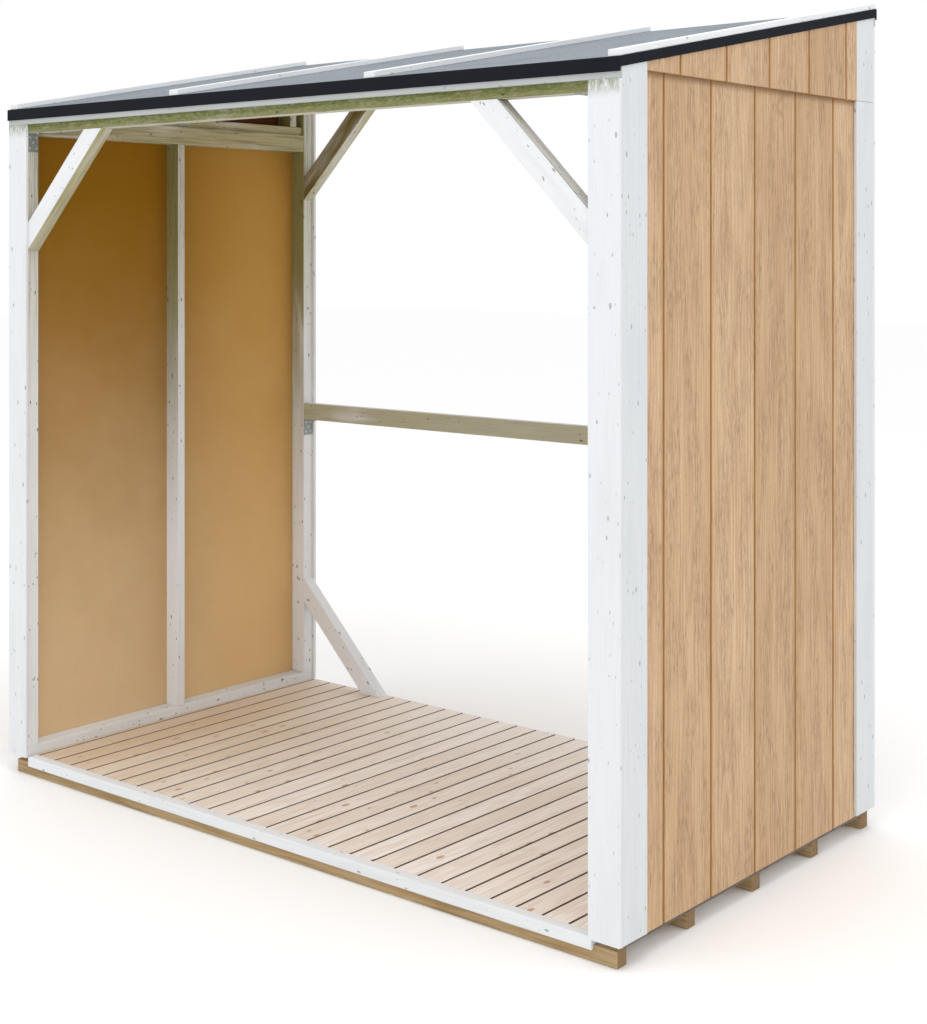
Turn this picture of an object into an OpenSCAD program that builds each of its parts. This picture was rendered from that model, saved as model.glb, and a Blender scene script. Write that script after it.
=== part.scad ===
// Open-fronted log store: a timber frame with boarded ends, a slatted deck on runners
// and a single-pitch roof that rises towards the back. All sizes are in millimetres.
// The origin is on the ground at the centre of the footprint: +X right, +Y back, +Z up.

/* [Overall] */
// Width over the side corner boards
width = 2258; // [1700:1:3200]
// Depth over the front and rear corner boards
depth = 1239; // [900:1:1800]
// Height of the roof covering at the front edge
front_height = 2020; // [1700:1:2400]
// Rise of the roof from its front edge to its back edge
roof_rise = 239; // [120:1:420]

/* [Base] */
// Number of runners under the deck
runner_count = 5; // [3:1:9]
// Width of a runner
runner_w = 36; // [25:1:70]
// Height of a runner
runner_h = 38; // [25:1:90]
// Spacing of the runners between the two end ones
runner_pitch = 302.5; // [150:0.5:400]
// Number of deck boards
deck_board_count = 29; // [10:1:40]
// Width of a deck board
deck_board_w = 71.5; // [40:0.5:75]
// Thickness of a deck board
deck_t = 18; // [12:1:35]
// Depth of the front sill's cap
sill_cap_d = 30.5; // [20:0.5:60]
// Height of the front sill's face
sill_face_h = 30; // [22:0.5:50]
// Height of the sill above the deck boards
sill_rise = 2; // [0:0.5:8]
// Gap between the sill's ends and the posts
sill_end_gap = 6.5; // [0:0.5:12]

/* [Frame timber] */
// Width of posts, studs and plates, measured across the store
post_w = 58; // [38:1:100]
// Thickness of corner posts, headers and braces, measured front to back
post_t = 43; // [28:1:75]
// Thickness of studs and plates
stud_t = 29; // [18:1:50]
// Height of the front and rear headers
header_h = 58; // [40:1:120]
// Height of the side walls' top plates
top_plate_h = 58; // [29:1:100]
// Drop of the side walls' tops below the front header's top
wall_drop = 4; // [1:0.5:10]
// Height of the rear rail
rail_h = 58; // [40:1:120]
// Height of the rear rail's underside above the deck
rail_level = 932; // [500:1:1400]
// Gap between the gable upright and the rear header
upright_gap = 27.5; // [5:0.5:120]
// Width of an intermediate rafter
rafter_w = 29; // [18:1:60]
// Depth of an intermediate rafter
rafter_d = 50; // [30:1:56]

/* [Braces] */
// Face width of a brace
brace_w = 58; // [30:1:80]
// Reach of the front braces along post and header
front_brace_reach = 359; // [200:1:500]
// Reach of the rear upper braces along post and header
rear_brace_reach = 404; // [200:1:500]
// Reach of the rear lower braces along post and deck
foot_brace_reach = 365; // [200:1:500]

/* [Cladding and trim] */
// Thickness of the siding sheets
siding_t = 9.5; // [6:0.5:20]
// Thickness of the corner boards
trim_t = 9.5; // [6:0.5:25]
// Width of the front and rear corner boards
front_trim_w = 87; // [78:1:140]
// Width of the corner boards on the sides
side_trim_w = 110; // [70:1:160]
// Joint between the two lengths of a rear side board
trim_joint = 0.5; // [0.3:0.1:3]
// Height of the siding's lower edge above the ground
siding_ground_gap = 52; // [30:1:56]
// Height of the corner boards' lower ends above the ground
trim_ground_gap = 56; // [40:1:80]
// Lap of the gable panel over the siding below it
gable_lap = 2; // [1:0.5:20]
// Height of the eaves boards at their outer faces
eaves_board_h = 30; // [25:0.5:40]

/* [Roof] */
// Thickness of the roof sheet
roof_board_t = 15; // [9:1:25]
// Thickness of the roofing felt
felt_t = 3; // [2:0.5:6]
// Height of the felt folded down over the front edge
front_apron_h = 33; // [20:1:44]
// Height of the felt folded down over the rear edge
rear_apron_h = 30; // [20:1:44]
// Height of the felt folded down over the side edges
side_apron_h = 24; // [20:1:40]
// Number of battens on the roof
batten_count = 4; // [2:1:8]
// Width of a roof batten
batten_w = 36; // [20:1:60]
// Height of a roof batten
batten_h = 15; // [8:1:30]
// Set-back of the battens' front ends from the felt's front edge
batten_set_back = 8; // [0:1:40]

/* [Angle brackets] */
// Length of a bracket's leg
bracket_leg = 56; // [25:1:80]
// Width of a bracket
bracket_w = 40; // [20:1:43]
// Thickness of the bracket's steel
bracket_t = 2; // [1:0.5:4]

/* [Hidden] */

white_paint = "#eceded";
bare_pine = "#c9a577";
deck_pine = "#d8bfa8";
siding_oak = "#cba678";
felt_grey = "#2a2e36";
zinc = "#a9adab";

// Planes across the store, measured from the middle, and front to back from the centre.
outer_x = width / 2;
siding_x = outer_x - trim_t;
frame_x = siding_x - siding_t;
post_x = frame_x - post_w;
outer_y = depth / 2;
frame_y = outer_y - trim_t;
post_y = frame_y - post_t;

// Levels.
deck_top = runner_h + deck_t;
plate_top = deck_top + stud_t;
slope = roof_rise / (depth + 2 * felt_t);
pitch_cos = cos(atan(slope));
roof_t = (roof_board_t + felt_t) / pitch_cos;
gable_rafter_drop = stud_t / pitch_cos;
header_bottom = roof_under(-frame_y) - header_h;
wall_top = roof_under(-frame_y) - wall_drop;
rear_header_bottom = roof_under(post_y) - header_h;
gable_plate_top = wall_top + stud_t;
eaves_bottom = roof_under(-outer_y) - eaves_board_h;
rear_eaves_bottom = roof_under(outer_y) - eaves_board_h;
rail_bottom = deck_top + rail_level;

// Base and roof spacing.
runner_front_y = -frame_y + siding_t;
runner_mid_y = (runner_front_y + frame_y - runner_w) / 2;
deck_front_y = -frame_y + sill_cap_d;
deck_pitch = (2 * frame_x - deck_board_w) / (deck_board_count - 1);
sill_top = deck_top + sill_rise;
batten_pitch = (2 * outer_x - batten_w) / (batten_count - 1);
brace_foot = brace_w * sqrt(2);

// Height of the felt's upper face, and of the roof sheet's underside, at a given y.
function roof_top(y) = front_height + slope * (y + outer_y + felt_t);
function roof_under(y) = roof_top(y) - roof_t;
// Where a line that lies a given drop below the roof's underside crosses a level.
function under_meets(z, drop) = (z + drop + roof_t - front_height) / slope - outer_y - felt_t;
function runner_y(i) =
    i == 0 ? runner_front_y :
    i == runner_count - 1 ? frame_y - runner_w :
    runner_mid_y + (i - (runner_count - 1) / 2) * runner_pitch;
function batten_x(i) = -outer_x + i * batten_pitch;

// A plain timber from its lower to its upper corner.
module timber(low, high) {
    translate(low) cube(high - low);
}

// An outline in the side view, [y, z] points, with a given span across the store.
module side_profile(points, x_low, x_high) {
    translate([x_low, 0, 0]) rotate([90, 0, 90])
        linear_extrude(height = x_high - x_low) polygon(points);
}

// The right-hand piece stays, and the left-hand one is its mirror image.
module on_side(side) {
    if (side == "right") children();
    else mirror([1, 0, 0]) children();
}

module runners() {
    color(bare_pine)
        for (i = [0 : runner_count - 1])
            timber([-frame_x, runner_y(i), 0],
                   [frame_x, runner_y(i) + runner_w, runner_h]);
}

module deck_boards() {
    color(deck_pine)
        for (i = [0 : deck_board_count - 1])
            timber([-frame_x + i * deck_pitch, deck_front_y, runner_h],
                   [-frame_x + i * deck_pitch + deck_board_w, frame_y, deck_top]);
}

// A rebated sill: its lip covers the front runner, its cap the deck boards' ends.
module front_sill() {
    sill_x = post_x - sill_end_gap;
    lip_bottom = sill_top - sill_face_h;
    color(white_paint)
        side_profile([[-frame_y, lip_bottom], [runner_front_y, lip_bottom],
                      [runner_front_y, runner_h], [deck_front_y, runner_h],
                      [deck_front_y, sill_top], [-frame_y, sill_top]], -sill_x, sill_x);
}

module bottom_plate(side) {
    color(white_paint) on_side(side)
        timber([post_x, -frame_y, deck_top], [frame_x, frame_y, plate_top]);
}

module front_post(side) {
    color(white_paint) on_side(side)
        timber([post_x, -frame_y, plate_top], [frame_x, -post_y, header_bottom]);
}

module mid_stud(side) {
    color(white_paint) on_side(side)
        timber([post_x, -stud_t / 2, plate_top], [frame_x, stud_t / 2, wall_top - top_plate_h]);
}

module rear_post(side) {
    color(white_paint) on_side(side)
        timber([post_x, post_y, plate_top], [frame_x, frame_y, rear_header_bottom]);
}

module top_plate(side) {
    color(white_paint) on_side(side)
        timber([post_x, -post_y, wall_top - top_plate_h], [frame_x, post_y, wall_top]);
}

module siding(side) {
    color(siding_oak) on_side(side)
        timber([frame_x, -frame_y, siding_ground_gap], [siding_x, frame_y, wall_top]);
}

// The gable frame stands out by the siding's thickness, so that its panel laps the siding.
module gable_plate(side) {
    color(white_paint) on_side(side)
        side_profile([[under_meets(wall_top, gable_rafter_drop), wall_top], [post_y, wall_top],
                      [post_y, gable_plate_top],
                      [under_meets(gable_plate_top, gable_rafter_drop), gable_plate_top]],
                     siding_x - post_w, siding_x);
}

module gable_upright(side) {
    back = post_y - upright_gap;
    front = back - stud_t;
    color(white_paint) on_side(side)
        side_profile([[front, gable_plate_top], [back, gable_plate_top],
                      [back, roof_under(back) - gable_rafter_drop],
                      [front, roof_under(front) - gable_rafter_drop]],
                     siding_x - post_w, siding_x);
}

module gable_rafter(side) {
    color(white_paint) on_side(side)
        side_profile([[-post_y, wall_top], [under_meets(wall_top, gable_rafter_drop), wall_top],
                      [post_y, roof_under(post_y) - gable_rafter_drop],
                      [post_y, roof_under(post_y)], [-post_y, roof_under(-post_y)]],
                     siding_x - post_w, siding_x);
}

module gable_panel(side) {
    front = -outer_y + side_trim_w;
    back = outer_y - side_trim_w;
    bottom = wall_top - gable_lap;
    color(siding_oak) on_side(side)
        side_profile([[front, bottom], [back, bottom],
                      [back, roof_under(back)], [front, roof_under(front)]],
                     siding_x, outer_x);
}

module side_front_trim(side) {
    back = -outer_y + side_trim_w;
    color(white_paint) on_side(side)
        side_profile([[-frame_y, trim_ground_gap], [back, trim_ground_gap],
                      [back, roof_under(back)], [-frame_y, roof_under(-frame_y)]],
                     siding_x, outer_x);
}

// The rear side board is in two lengths that meet at the gable panel's lower edge.
module side_rear_trim(side) {
    front = outer_y - side_trim_w;
    joint = wall_top - gable_lap;
    color(white_paint) on_side(side) {
        timber([siding_x, front, trim_ground_gap], [outer_x, frame_y, joint - trim_joint]);
        side_profile([[front, joint], [frame_y, joint],
                      [frame_y, roof_under(frame_y)], [front, roof_under(front)]],
                     siding_x, outer_x);
    }
}

module front_header() {
    color(white_paint)
        side_profile([[-frame_y, header_bottom], [-post_y, header_bottom],
                      [-post_y, roof_under(-post_y)], [-frame_y, roof_under(-frame_y)]],
                     -frame_x, frame_x);
}

module front_eaves_board() {
    color(white_paint)
        side_profile([[-outer_y, eaves_bottom], [-frame_y, eaves_bottom],
                      [-frame_y, roof_under(-frame_y)], [-outer_y, roof_under(-outer_y)]],
                     -outer_x, outer_x);
}

module front_trims() {
    color(white_paint)
        for (side = ["left", "right"])
            on_side(side)
                timber([outer_x - front_trim_w, -outer_y, trim_ground_gap],
                       [outer_x, -frame_y, eaves_bottom]);
}

// A brace across a corner, its ends cut to the post and to the rail it meets.
// reach is the length of each leg, and turn is 1 below a header or -1 above the deck.
module brace(reach, corner_z, y_low, y_high, turn) {
    translate([post_x, y_high, corner_z]) rotate([90, 0, 0])
        linear_extrude(height = y_high - y_low)
            polygon([[0, -turn * reach], [-reach, 0],
                     [brace_foot - reach, 0], [0, turn * (brace_foot - reach)]]);
}

module front_braces() {
    color(white_paint)
        for (side = ["left", "right"])
            on_side(side) brace(front_brace_reach, header_bottom, -frame_y, -post_y, 1);
}

module rear_upper_braces() {
    color(white_paint)
        for (side = ["left", "right"])
            on_side(side) brace(rear_brace_reach, rear_header_bottom, post_y, frame_y, 1);
}

// The foot braces stand on the deck beside the bottom plates, so the post starts above it.
module rear_lower_braces() {
    color(white_paint)
        for (side = ["left", "right"])
            on_side(side) brace(foot_brace_reach, deck_top, post_y, frame_y, -1);
}

module rear_header() {
    color(white_paint)
        side_profile([[post_y, rear_header_bottom], [frame_y, rear_header_bottom],
                      [frame_y, roof_under(frame_y)], [post_y, roof_under(post_y)]],
                     -frame_x, frame_x);
}

module rear_mid_rail() {
    color(white_paint)
        timber([-post_x, post_y, rail_bottom], [post_x, post_y + stud_t, rail_bottom + rail_h]);
}

module rear_eaves_board() {
    color(white_paint)
        side_profile([[frame_y, rear_eaves_bottom], [outer_y, rear_eaves_bottom],
                      [outer_y, roof_under(outer_y)], [frame_y, roof_under(frame_y)]],
                     -outer_x, outer_x);
}

module rear_trims() {
    color(white_paint)
        for (side = ["left", "right"])
            on_side(side)
                timber([outer_x - front_trim_w, frame_y, trim_ground_gap],
                       [outer_x, outer_y, rear_eaves_bottom]);
}

// Rafters between the headers, one under each batten that isn't at a gable.
module rafters() {
    drop = rafter_d / pitch_cos;
    color(white_paint)
        for (i = [1 : batten_count - 2])
            translate([batten_x(i) + (batten_w - rafter_w) / 2, 0, 0])
                side_profile([[-post_y, roof_under(-post_y) - drop],
                              [post_y, roof_under(post_y) - drop],
                              [post_y, roof_under(post_y)], [-post_y, roof_under(-post_y)]],
                             0, rafter_w);
}

module roof_board() {
    felt_drop = felt_t / pitch_cos;
    color(bare_pine)
        side_profile([[-outer_y, roof_under(-outer_y)], [outer_y, roof_under(outer_y)],
                      [outer_y, roof_top(outer_y) - felt_drop],
                      [-outer_y, roof_top(-outer_y) - felt_drop]],
                     -outer_x, outer_x);
}

// The felt covers the sheet and is folded down over all four of its edges.
module roof_felt() {
    felt_x = outer_x + felt_t;
    felt_y = outer_y + felt_t;
    felt_drop = felt_t / pitch_cos;
    color(felt_grey) {
        side_profile([[-felt_y, roof_top(-felt_y) - felt_drop], [felt_y, roof_top(felt_y) - felt_drop],
                      [felt_y, roof_top(felt_y)], [-felt_y, roof_top(-felt_y)]], -felt_x, felt_x);
        side_profile([[-felt_y, front_height - front_apron_h], [-outer_y, front_height - front_apron_h],
                      [-outer_y, roof_top(-outer_y)], [-felt_y, front_height]], -felt_x, felt_x);
        side_profile([[outer_y, roof_top(outer_y) - rear_apron_h], [felt_y, roof_top(outer_y) - rear_apron_h],
                      [felt_y, roof_top(felt_y)], [outer_y, roof_top(outer_y)]], -felt_x, felt_x);
        for (side = ["left", "right"])
            on_side(side)
                side_profile([[-felt_y, roof_top(-felt_y) - side_apron_h],
                              [felt_y, roof_top(felt_y) - side_apron_h],
                              [felt_y, roof_top(felt_y)], [-felt_y, roof_top(-felt_y)]],
                             outer_x, felt_x);
    }
}

module roof_batten(i) {
    rise = batten_h / pitch_cos;
    back = outer_y + felt_t;
    front = batten_set_back - back;
    color(white_paint)
        side_profile([[front, roof_top(front)], [back, roof_top(back)],
                      [back, roof_top(back) + rise], [front, roof_top(front) + rise]],
                     batten_x(i), batten_x(i) + batten_w);
}

// An angle bracket in the corner between a post and the piece above it.
module bracket(corner_z, y_mid) {
    translate([post_x, y_mid + bracket_w / 2, corner_z]) rotate([90, 0, 0])
        linear_extrude(height = bracket_w)
            polygon([[0, 0], [0, -bracket_leg], [-bracket_t, -bracket_leg],
                     [-bracket_t, -bracket_t], [-bracket_leg, -bracket_t], [-bracket_leg, 0]]);
}

module angle_brackets() {
    color(zinc)
        for (side = ["left", "right"])
            on_side(side) {
                bracket(header_bottom, -(frame_y + post_y) / 2);
                bracket(rail_bottom, (frame_y + post_y) / 2);
            }
}

runners();
deck_boards();
front_sill();
bottom_plate("left");  // left_bottom_plate
bottom_plate("right");  // right_bottom_plate
front_post("left");  // left_front_post
front_post("right");  // right_front_post
mid_stud("left");  // left_mid_stud
mid_stud("right");  // right_mid_stud
rear_post("left");  // left_rear_post
rear_post("right");  // right_rear_post
top_plate("left");  // left_top_plate
top_plate("right");  // right_top_plate
siding("left");  // left_siding
siding("right");  // right_siding
gable_plate("left");  // left_gable_plate
gable_plate("right");  // right_gable_plate
gable_upright("left");  // left_gable_upright
gable_upright("right");  // right_gable_upright
gable_rafter("left");  // left_gable_rafter
gable_rafter("right");  // right_gable_rafter
gable_panel("left");  // left_gable_panel
gable_panel("right");  // right_gable_panel
side_front_trim("left");  // left_side_front_trim
side_front_trim("right");  // right_side_front_trim
side_rear_trim("left");  // left_side_rear_trim
side_rear_trim("right");  // right_side_rear_trim
front_header();
front_eaves_board();
front_trims();
front_braces();
rear_header();
rear_mid_rail();
rear_eaves_board();
rear_trims();
rear_upper_braces();
rear_lower_braces();
rafters();
roof_board();
roof_felt();
roof_batten(0);  // roof_batten_1
roof_batten(1);  // roof_batten_2
roof_batten(2);  // roof_batten_3
roof_batten(3);  // roof_batten_4
angle_brackets();
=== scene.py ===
# %% [markdown]
# # A timber log store
#
# The log store is a softwood frame with two boarded end walls, a slatted deck and a
# felted roof that rises towards the back. The frame below holds every timber at its
# true size. This lesson gives those timbers their eased edges and their wood, and
# models the pieces with finer detail: grooved wall sheets, deck boards, roofing felt,
# steel brackets and nails.

# %% Load the frame
import math
import random

import bpy
from mathutils import Matrix, Vector


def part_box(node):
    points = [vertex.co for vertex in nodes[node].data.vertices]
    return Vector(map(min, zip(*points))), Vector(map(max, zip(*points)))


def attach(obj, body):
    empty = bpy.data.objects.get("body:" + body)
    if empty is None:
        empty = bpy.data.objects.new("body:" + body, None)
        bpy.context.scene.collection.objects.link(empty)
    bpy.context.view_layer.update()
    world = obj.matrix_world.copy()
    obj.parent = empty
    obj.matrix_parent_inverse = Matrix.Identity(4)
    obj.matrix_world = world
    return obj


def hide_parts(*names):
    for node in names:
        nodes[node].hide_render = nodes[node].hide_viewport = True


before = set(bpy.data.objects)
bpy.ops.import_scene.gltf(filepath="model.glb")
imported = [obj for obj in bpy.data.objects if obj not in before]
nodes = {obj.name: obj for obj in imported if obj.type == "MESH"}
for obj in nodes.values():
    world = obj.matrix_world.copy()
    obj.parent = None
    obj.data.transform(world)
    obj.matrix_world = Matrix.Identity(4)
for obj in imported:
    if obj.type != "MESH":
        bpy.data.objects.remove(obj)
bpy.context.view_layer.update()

MM = 0.001

# %% [markdown]
# ## Colours and nodes
#
# Paint charts and sample boards give colours as sRGB hex values, but a shader works in
# linear light. One function converts them, so each colour is written once in the form
# that people read. A second small function adds a shader node with its settings and
# its links, because every material below is a short chain of such nodes. The helpers
# after it name the few steps that every material repeats: read a height, lay one shade
# over another, and end with relief, roughness and sheen.


# %% Colour and node helpers
def paint(hex_value):
    """A linear colour from an sRGB hex value such as 'd8bfa8'."""
    parts = [int(hex_value[i:i + 2], 16) / 255 for i in (0, 2, 4)]
    return [c / 12.92 if c <= 0.04045 else ((c + 0.055) / 1.055) ** 2.4 for c in parts] + [1.0]


def add(material, kind, inputs=None, **settings):
    """Adds a shader node. An input is given a value, or another node's output to follow."""
    shader = material.node_tree.nodes.new("ShaderNode" + kind)
    for name, value in settings.items():
        setattr(shader, name, value)
    for name, value in (inputs or {}).items():
        if isinstance(value, bpy.types.NodeSocket):
            material.node_tree.links.new(value, shader.inputs[name])
        else:
            shader.inputs[name].default_value = value
    return shader


def new_material(name):
    """An empty material with its surface shader, ready for its chain of nodes."""
    material = bpy.data.materials.new(name)
    material.use_nodes = True
    return material, material.node_tree.nodes["Principled BSDF"]


# %% Sums, blends and the final coat
MIX_COLOURS = {"data_type": "RGBA"}
MIX_A, MIX_B, MIX_OUT = 6, 7, 2


def blend_colours(material, share, first, second):
    """A colour that goes from first to second as share goes from 0 to 1."""
    return add(material, "Mix", {0: share, MIX_A: first, MIX_B: second}, **MIX_COLOURS).outputs[MIX_OUT]


def ramp(material, share, low, high):
    """0 below low, 1 above high and a smooth rise between them."""
    rise = add(material, "MapRange", {"Value": share, "From Min": low, "From Max": high},
               interpolation_type="SMOOTHSTEP")
    return rise.outputs["Result"]


def maths(material, what, first, second=0.0):
    """One sum on one or two values."""
    return add(material, "Math", {0: first, 1: second}, operation=what).outputs[0]


def over(material, colour, share, strength, shade):
    """Lays a shade over the colour where share is high."""
    return blend_colours(material, maths(material, "MULTIPLY", share, strength), colour, paint(shade))


def axis_value(material, kind, output, axis):
    """The x, y or z (0, 1 or 2) of a place or a direction."""
    return add(material, "SeparateXYZ", {0: add(material, kind).outputs[output]}).outputs[axis]


def noise(material, where, detail, scale=1.0, distortion=0.0):
    """Soft noise between 0 and 1."""
    return add(material, "TexNoise", {"Vector": where, "Scale": scale, "Detail": detail,
               "Distortion": distortion}).outputs[0]


def coat(material, surface, colour, relief, strength, depth, roughness, gloss=0.5):
    """Gives a surface its colour, its relief, its roughness and its sheen."""
    bump = add(material, "Bump", {"Height": relief, "Strength": strength, "Distance": depth})
    material.node_tree.links.new(colour, surface.inputs["Base Color"])
    material.node_tree.links.new(bump.outputs[0], surface.inputs["Normal"])
    surface.inputs["Roughness"].default_value = roughness
    surface.inputs["Specular IOR Level"].default_value = gloss
    return material


# %% [markdown]
# ## Which way the grain runs
#
# Sawn timber is cut along the trunk, so its grain, pores and knots are drawn out along
# the board's length. A noise pattern looks like wood once it is squeezed across the
# board and stretched along it. Each wood material is therefore made for one grain
# direction, and reads the piece's own object coordinates, which are metres here.


# %% Grain coordinates
GRAIN_TURNS = {"x": (0, 0, 0), "y": (0, 0, math.radians(-90)), "z": (0, math.radians(90), 0),
               "rise": (0, math.radians(45), 0), "fall": (0, math.radians(-45), 0)}


def along_grain(material, grain, across, length):
    """Coordinates with one unit per 'across' over the board and per 'length' along it."""
    place = add(material, "TexCoord").outputs["Object"]
    turned = add(material, "Mapping", {"Vector": place, "Rotation": GRAIN_TURNS[grain]})
    scale = (1 / length, 1 / across, 1 / across)
    return add(material, "Mapping", {"Vector": turned.outputs[0], "Scale": scale}).outputs[0]


# %% [markdown]
# ## Pine with a thin white wash
#
# The frame and the corner boards are planed pine under a thin white wash, a stain
# rather than a paint. The wash leaves an even, slightly cool white, and what gives the
# wood away is a faint streak of grain and many small grey knots and pin marks, which
# shine through because resin takes up less of the stain. Streaks are a stretched
# noise. The knots are the middles of scattered cells, kept only where a random value
# is high, so that they vary in size and are far apart. On the inner timbers, shade is
# painted into the colour: olive and brown on the faces that look forwards and towards
# the roof, with darker grain and knots there.


# %% Knots
def knots(material, grain, across, length, share, size):
    """1 inside scattered knots, 0 outside. share is how many cells have one."""
    spot = along_grain(material, grain, across, length)
    cells = add(material, "TexVoronoi", {"Vector": spot, "Scale": 1.0})
    chance = add(material, "SeparateColor", {"Color": cells.outputs["Color"]}).outputs[0]
    radius = maths(material, "MULTIPLY", maths(material, "SUBTRACT", chance, 1 - share), size / share)
    return ramp(material, maths(material, "SUBTRACT", radius, cells.outputs["Distance"]), 0.0, 0.08)


# %% Washed pine
KNOT_ACROSS, KNOT_LENGTH = 18 * MM, 42 * MM
PIN_ACROSS, PIN_LENGTH = 9 * MM, 22 * MM
STREAK_ACROSS, STREAK_LENGTH = 3.5 * MM, 160 * MM
CLOUD_ACROSS, CLOUD_LENGTH = 60 * MM, 300 * MM
GREEN_SHADE_ACROSS, GREEN_SHADE_LENGTH = 6 * MM, 16 * MM
HEADER_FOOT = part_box("front_header")[0][2]
GREEN_SHADE_LEVELS = (HEADER_FOOT - 20 * MM, HEADER_FOOT + 25 * MM)
FORWARD_SHADE_LEVELS = (0.5, 1.65)
SHADED_LEVELS = (0.8, 1.95)
GRAIN_SHADE_LEVELS = (0.4, 1.9)


def washed_pine(name, grain, body="e6e8ea", streak="d6d9db", knot="8d9297", inner=False,
                forward=0.97, shade_share=0.4, forward_shade_low="f0f5fc", forward_shade_high="928c54",
                side_shade_colour="aea66c", green_shade=0.0):
    """White-washed pine. An inner timber gets painted shade towards the roof and on its forward faces."""
    material, surface = new_material(name)
    height = axis_value(material, "TexCoord", "Object", 2)
    facing_back = axis_value(material, "NewGeometry", "Normal", 1)
    front = ramp(material, maths(material, "MULTIPLY", facing_back, -1.0), 0.5, 0.9)
    streaks = noise(material, along_grain(material, grain, STREAK_ACROSS, STREAK_LENGTH), 3.0)
    cloud = noise(material, along_grain(material, grain, CLOUD_ACROSS, CLOUD_LENGTH), 2.0)
    colour = over(material, paint(body), ramp(material, streaks, 0.45, 0.75), 0.55, streak)
    colour = over(material, colour, ramp(material, cloud, 0.45, 0.8), 0.5, streak)
    # Inner timbers: painted shade, olive and brown, darker towards the roof and on forward faces, with
    # darker grain there.
    if inner:
        forward_shade_colour = blend_colours(material, ramp(material, height, *FORWARD_SHADE_LEVELS),
                             paint(forward_shade_low), paint(forward_shade_high))
        patchy = ramp(material, cloud, 0.1, 0.5)
        shaded = maths(material, "MULTIPLY", ramp(material, height, *SHADED_LEVELS),
                       maths(material, "SUBTRACT", patchy, front))
        colour = over(material, colour, shaded, shade_share, side_shade_colour)
        forward_shade = maths(material, "MULTIPLY", maths(material, "MULTIPLY", front, forward), patchy)
        colour = blend_colours(material, forward_shade, colour, forward_shade_colour)
        grain_in_shade = maths(material, "MULTIPLY", ramp(material, streaks, 0.45, 0.7),
                       ramp(material, height, *GRAIN_SHADE_LEVELS))
        painted_shade = maths(material, "MAXIMUM", forward_shade, shaded)
        colour = over(material, colour, maths(material, "MULTIPLY", grain_in_shade, painted_shade), 0.45, "544c26")
    # Painted green-tinted shade under the eaves: mottled, on forward faces near the header's height.
    if green_shade:
        mottle = noise(material, along_grain(material, grain, GREEN_SHADE_ACROSS, GREEN_SHADE_LENGTH), 3.0)
        green_shade_share = maths(material, "MULTIPLY", ramp(material, height, *GREEN_SHADE_LEVELS),
                      ramp(material, mottle, 0.1, 0.75))
        colour = over(material, colour, maths(material, "MULTIPLY", green_shade_share, front), green_shade, "5d6a2e")
    marks = knots(material, grain, KNOT_ACROSS, KNOT_LENGTH, 0.9, 0.22)
    pins = knots(material, grain, PIN_ACROSS, PIN_LENGTH, 0.4 if inner else 0.25, 0.25)
    colour = over(material, colour, marks, 0.75, knot)
    colour = over(material, colour, pins, 0.75 if inner else 0.5, knot)
    relief = maths(material, "SUBTRACT", streaks, maths(material, "MULTIPLY", marks, 0.6))
    return coat(material, surface, colour, relief, 0.35, 0.6 * MM, 0.62, 0.12 if inner else 0.5)


# %% [markdown]
# Each run of timber gets its own mix of the wash. The rear corner boards are the
# whitest. The side corner boards and the eaves boards are greyer copies, with painted
# shade. The front header and the tops of the front corner boards carry a mottled green
# painted shade just under the eaves.

# %% The washes in use
outer_wash = {g: washed_pine("white washed pine along " + g, g) for g in "xyz"}
# The front corner boards carry painted green shade at their tops.
front_wash = washed_pine("front corner board pine", "z", body="e2e4e7", green_shade=0.8)
# The side corner boards are a greyer copy of the wash: painted shade for the side, which gets less light
# than the front.
side_wash = washed_pine("side corner board pine in painted shade", "z", body="d8dbdd", streak="cbcfd2")
# The eaves boards are a greyer copy of the wash: painted shade under the roof's edge.
eaves_wash = washed_pine("eaves board pine in painted shade", "x", body="b3b7b6", streak="a6a9a4")
# The inner timbers carry painted shade. Their darker knot colours are painted shade on real knots.
inner_wash = {g: washed_pine("painted shade on pine along " + g, g, knot="4c4730", inner=True)
              for g in "xz"}
# The plates carry stronger painted shade.
plate_wash = washed_pine("painted shade on plate pine", "y", knot="4c4730", inner=True, shade_share=0.8)
# The rear braces carry painted shade, a darker olive at the top.
rear_brace_wash = {g: washed_pine("rear brace pine " + g, g, knot="4c4730", inner=True, shade_share=0.7,
                   forward_shade_high="7f7130") for g in ("rise", "fall")}
# Painted shade: strong on the left front brace, slight on the right one, whose upper face is lit.
BRACE_SHADE = {"rise": 0.85, "fall": 0.12}
brace_wash = {g: washed_pine("front brace pine " + g, g, knot="868a88", inner=True, forward=0.0, shade_share=shade_share)
              for g, shade_share in BRACE_SHADE.items()}
# The header carries painted shade and the strongest painted green shade under the eaves.
header_wash = washed_pine("header pine under the eaves", "x", knot="33351f", inner=True,
                          forward_shade_high="97926a", green_shade=1.0)
# The rail's olive-grey forward face is painted shade.
rail_wash = washed_pine("painted shade on rail pine", "x", knot="564f3a", inner=True,
                        forward_shade_low="b9b79d", forward_shade_high="b9b79d")
print("washed pine in", sum("pine" in m.name for m in bpy.data.materials), "versions")

# %% [markdown]
# ## Embossed wall sheet
#
# The walls are wood-fibre sheets pressed with an oak pattern and printed in a warm
# tan. The eye sees long darker pores, paler ribbons between them and a soft change of
# tone from one mock board to the next. Each groove gets a painted shade line with a soft
# painted-shade halo beside it, and the wall sheet gets a painted shadow under the gable
# sheet's edge. The back of the same sheet is plain brown fibreboard, almost smooth, with
# painted shade towards the roof and in the gable, and painted light towards the rear.

# %% Sheet sizes
GROOVE_PITCH = 205 * MM
GROOVE_WIDTH = 10 * MM
GROOVE_DEPTH = 3 * MM
WALL_FIRST_GROOVE = 181 * MM
GABLE_FIRST_GROOVE = 137 * MM
GABLE_SHADE_LEVELS = (1.98, 2.04)
LIP_SHADOW = 22 * MM


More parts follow.
